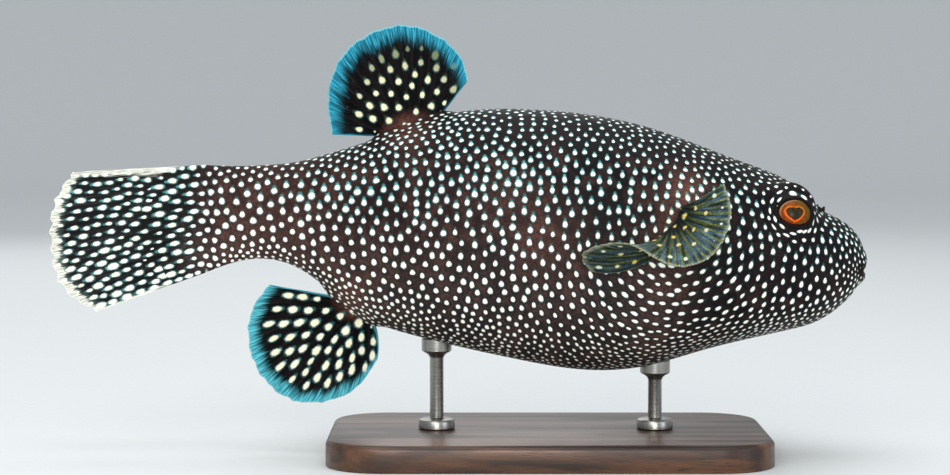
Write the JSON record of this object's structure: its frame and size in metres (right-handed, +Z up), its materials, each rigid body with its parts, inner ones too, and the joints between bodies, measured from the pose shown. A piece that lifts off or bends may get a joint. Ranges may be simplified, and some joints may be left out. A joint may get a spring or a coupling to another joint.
{
  "type": "pufferfish model on display stand",
  "caption": "Life-size still model of a swimming spotted pufferfish, deep body, small beaked mouth and spread fins, held over a plain flat base by short rods.",
  "frame": {"origin": "middle of the overall box in X and Y, on the underside of the stand's base", "axes": "+X towards the head, +Y towards the fish's left side, +Z up"},
  "size_m": [0.3803, 0.1714, 0.2006],
  "materials": {
    "skin": "dark brown-black fish skin, finely prickled, covered with small cream-white spots",
    "fin": "black rayed fin with cream spots and a streaked pale blue or white edge",
    "pectoral_fin": "olive rays joined by thin bluish membrane",
    "eye": "wet orange iris round a dark olive heart-shaped pupil",
    "beak": "off-white tooth enamel",
    "stand_wood": "dark walnut, satin",
    "stand_steel": "satin turned steel"
  },
  "bodies": {
    "root": {"head": "skin", "trunk": "skin", "tail_stalk": "skin", "caudal_fin": "fin", "dorsal_fin": "fin", "anal_fin": "fin", "pectoral_fin_left": "pectoral_fin", "pectoral_fin_right": "pectoral_fin", "eye_left": "eye", "eye_right": "eye", "nostril_flap_left": "skin", "nostril_flap_right": "skin", "beak_upper": "beak", "beak_lower": "beak", "stand_base": "stand_wood", "stand_rod_front": "stand_steel", "stand_rod_rear": "stand_steel"}
  },
  "joints": []
}
